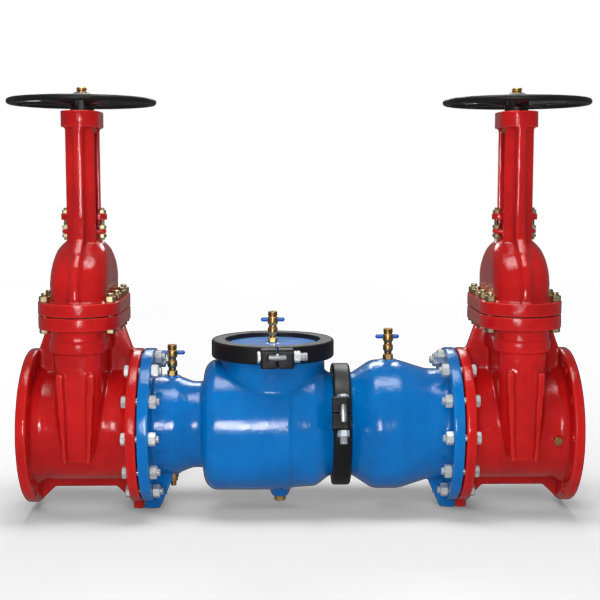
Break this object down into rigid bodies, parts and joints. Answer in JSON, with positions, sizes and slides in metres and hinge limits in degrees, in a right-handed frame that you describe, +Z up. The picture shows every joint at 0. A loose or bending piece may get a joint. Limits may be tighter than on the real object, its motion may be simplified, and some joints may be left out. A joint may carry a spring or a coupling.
{
  "type": "double check valve backflow preventer",
  "caption": "Large flanged double check backflow preventer between two rising-stem gate valves, with grooved couplings, an access cover and test cocks.",
  "frame": {"origin": "centre of the inlet flange face", "axes": "+X along the pipe in the flow direction, +Z up, along the valve stems"},
  "size_m": [1.7998, 0.4826, 1.315],
  "materials": {
    "red_epoxy": "gloss fusion-bonded epoxy",
    "blue_epoxy": "gloss fusion-bonded epoxy",
    "pale_blue_epoxy": "gloss epoxy",
    "black_enamel": "semi-gloss enamel",
    "brass": "machined",
    "bronze": "machined",
    "zinc_steel": "zinc plated",
    "yellow_zinc_steel": "yellow zinc plated",
    "stainless": "machined",
    "rubber": "moulded",
    "rubber_covered_iron": "moulded rubber over iron",
    "blue_handle": "vinyl dipped"
  },
  "bodies": {
    "pipework": {"inlet_valve_body": "red_epoxy", "inlet_bonnet": "red_epoxy", "inlet_gland": "red_epoxy", "outlet_valve_body": "red_epoxy", "outlet_bonnet": "red_epoxy", "outlet_gland": "red_epoxy", "bonnet_gaskets": "rubber", "bonnet_bolts": "yellow_zinc_steel", "packing_rings": "rubber", "gland_studs": "yellow_zinc_steel", "flange_gaskets": "rubber", "flange_bolts": "zinc_steel", "check_body": "blue_epoxy", "outlet_body": "blue_epoxy", "access_cover": "pale_blue_epoxy", "cover_gasket": "rubber", "cover_clamp_left": "black_enamel", "cover_clamp_right": "black_enamel", "cover_clamp_bolts": "zinc_steel", "joint_gasket": "rubber", "joint_clamp_upper": "black_enamel", "joint_clamp_lower": "black_enamel", "joint_clamp_bolts": "zinc_steel", "seat_seals": "rubber", "pipe_plugs": "brass", "seat_ring_1": "bronze", "guide_cage_1": "stainless", "check_spring_1": "stainless", "seat_ring_2": "bronze", "guide_cage_2": "stainless", "check_spring_2": "stainless", "inlet_cock_body": "brass", "cover_cock_body": "brass", "outlet_cock_body": "brass"},
    "inlet_wheel_set": {"inlet_handwheel": "black_enamel", "inlet_stem_nut": "bronze", "inlet_wheel_nut": "zinc_steel"},
    "inlet_stem_set": {"inlet_stem": "brass", "inlet_gate": "rubber_covered_iron", "inlet_gate_nut": "bronze"},
    "outlet_wheel_set": {"outlet_handwheel": "black_enamel", "outlet_stem_nut": "bronze", "outlet_wheel_nut": "zinc_steel"},
    "outlet_stem_set": {"outlet_stem": "brass", "outlet_gate": "rubber_covered_iron", "outlet_gate_nut": "bronze"},
    "check_disc_1": {"poppet_1": "stainless", "poppet_seal_1": "rubber"},
    "check_disc_2": {"poppet_2": "stainless", "poppet_seal_2": "rubber"},
    "inlet_cock_turning": {"inlet_cock_ball": "stainless", "inlet_cock_handle": "blue_handle"},
    "cover_cock_turning": {"cover_cock_ball": "stainless", "cover_cock_handle": "blue_handle"},
    "outlet_cock_turning": {"outlet_cock_ball": "stainless", "outlet_cock_handle": "blue_handle"}
  },
  "joints": [
    {"name": "inlet_wheel_turn", "type": "hinge", "parent": "pipework", "child": "inlet_wheel_set", "pos_m": [0.1778, 0, 1.009], "axis": [0, 0, 1], "range_deg": [0, 13320]},
    {"name": "inlet_gate_lift", "type": "slide", "parent": "pipework", "child": "inlet_stem_set", "axis": [0, 0, 1], "range_m": [0, 0.313]},
    {"name": "outlet_wheel_turn", "type": "hinge", "parent": "pipework", "child": "outlet_wheel_set", "pos_m": [1.5206, 0, 1.009], "axis": [0, 0, 1], "range_deg": [0, 13320]},
    {"name": "outlet_gate_lift", "type": "slide", "parent": "pipework", "child": "outlet_stem_set", "axis": [0, 0, 1], "range_m": [0, 0.313]},
    {"name": "check_1_open", "type": "slide", "parent": "pipework", "child": "check_disc_1", "axis": [1, 0, 0], "range_m": [0, 0.06], "stiffness_N_per_m": 6000, "springref_m": -0.07, "deforming": ["check_spring_1"]},
    {"name": "check_2_open", "type": "slide", "parent": "pipework", "child": "check_disc_2", "axis": [1, 0, 0], "range_m": [0, 0.06], "stiffness_N_per_m": 6000, "springref_m": -0.07, "deforming": ["check_spring_2"]},
    {"name": "inlet_cock_turn", "type": "hinge", "parent": "pipework", "child": "inlet_cock_turning", "pos_m": [0.4462, 0, 0.225], "axis": [0, 1, 0], "range_deg": [0, 90]},
    {"name": "cover_cock_turn", "type": "hinge", "parent": "pipework", "child": "cover_cock_turning", "pos_m": [0.7632, 0, 0.33], "axis": [0, 1, 0], "range_deg": [0, 90]},
    {"name": "outlet_cock_turn", "type": "hinge", "parent": "pipework", "child": "outlet_cock_turning", "pos_m": [1.1272, 0, 0.275], "axis": [0, 1, 0], "range_deg": [0, 90]}
  ],
  "couplings": [
    {"joint": "inlet_gate_lift", "follows": "inlet_wheel_turn", "m_per_rad": 0.001346},
    {"joint": "outlet_gate_lift", "follows": "outlet_wheel_turn", "m_per_rad": 0.001346}
  ]
}
